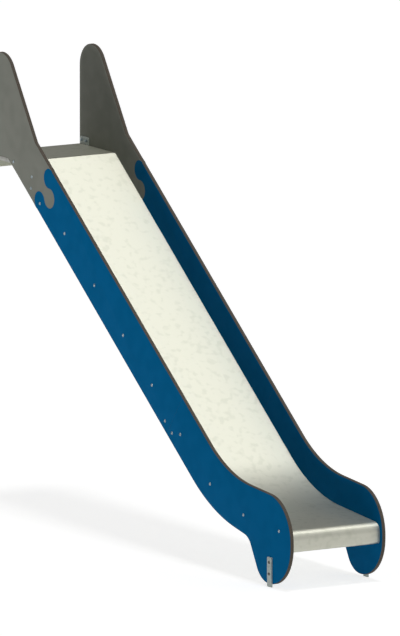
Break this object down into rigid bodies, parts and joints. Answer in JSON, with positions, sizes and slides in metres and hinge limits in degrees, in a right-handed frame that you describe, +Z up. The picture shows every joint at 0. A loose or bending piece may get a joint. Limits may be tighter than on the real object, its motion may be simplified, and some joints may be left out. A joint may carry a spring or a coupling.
{
  "type": "embankment slide",
  "caption": "Straight stainless steel embankment slide with cut side panels, tall ears beside the start platform, a hooked panel joint and flat foot bars.",
  "frame": {"origin": "middle of the outer face of the start platform's back flange, on the slide's mirror plane", "axes": "+X across the slide, -Y towards the exit, +Y out of the back flange into the bank, +Z up; the ground at the exit is at z = -1.717 m"},
  "size_m": [0.5526, 2.9258, 2.2719],
  "materials": {
    "steel": "satin stainless steel sheet, polished by use",
    "grey_panel": "matt grey face on a compact laminate with a brown core",
    "blue_panel": "matt blue face on a compact laminate with a brown core",
    "zinc_bar": "plain flat steel bar, pickled or galvanised"
  },
  "bodies": {
    "root": {"start_platform": "steel", "slide_bed": "steel", "chute_flange_left": "steel", "chute_flange_right": "steel", "ear_panel_left": "grey_panel", "ear_panel_right": "grey_panel", "upper_side_panel_left": "blue_panel", "upper_side_panel_right": "blue_panel", "lower_side_panel_left": "blue_panel", "lower_side_panel_right": "blue_panel", "foot_bar_left": "zinc_bar", "foot_bar_right": "zinc_bar", "ear_lug_left": "zinc_bar", "ear_lug_right": "zinc_bar", "hook_joint_plate_left": "zinc_bar", "hook_joint_plate_right": "zinc_bar", "seam_joint_plate_left": "zinc_bar", "seam_joint_plate_right": "zinc_bar", "upper_cross_tube": "zinc_bar", "lower_cross_tube": "zinc_bar", "deck_rib": "zinc_bar", "bed_rib_1": "zinc_bar", "bed_rib_2": "zinc_bar", "bed_rib_3": "zinc_bar", "bed_rib_4": "zinc_bar", "runout_rib": "zinc_bar"}
  },
  "joints": []
}
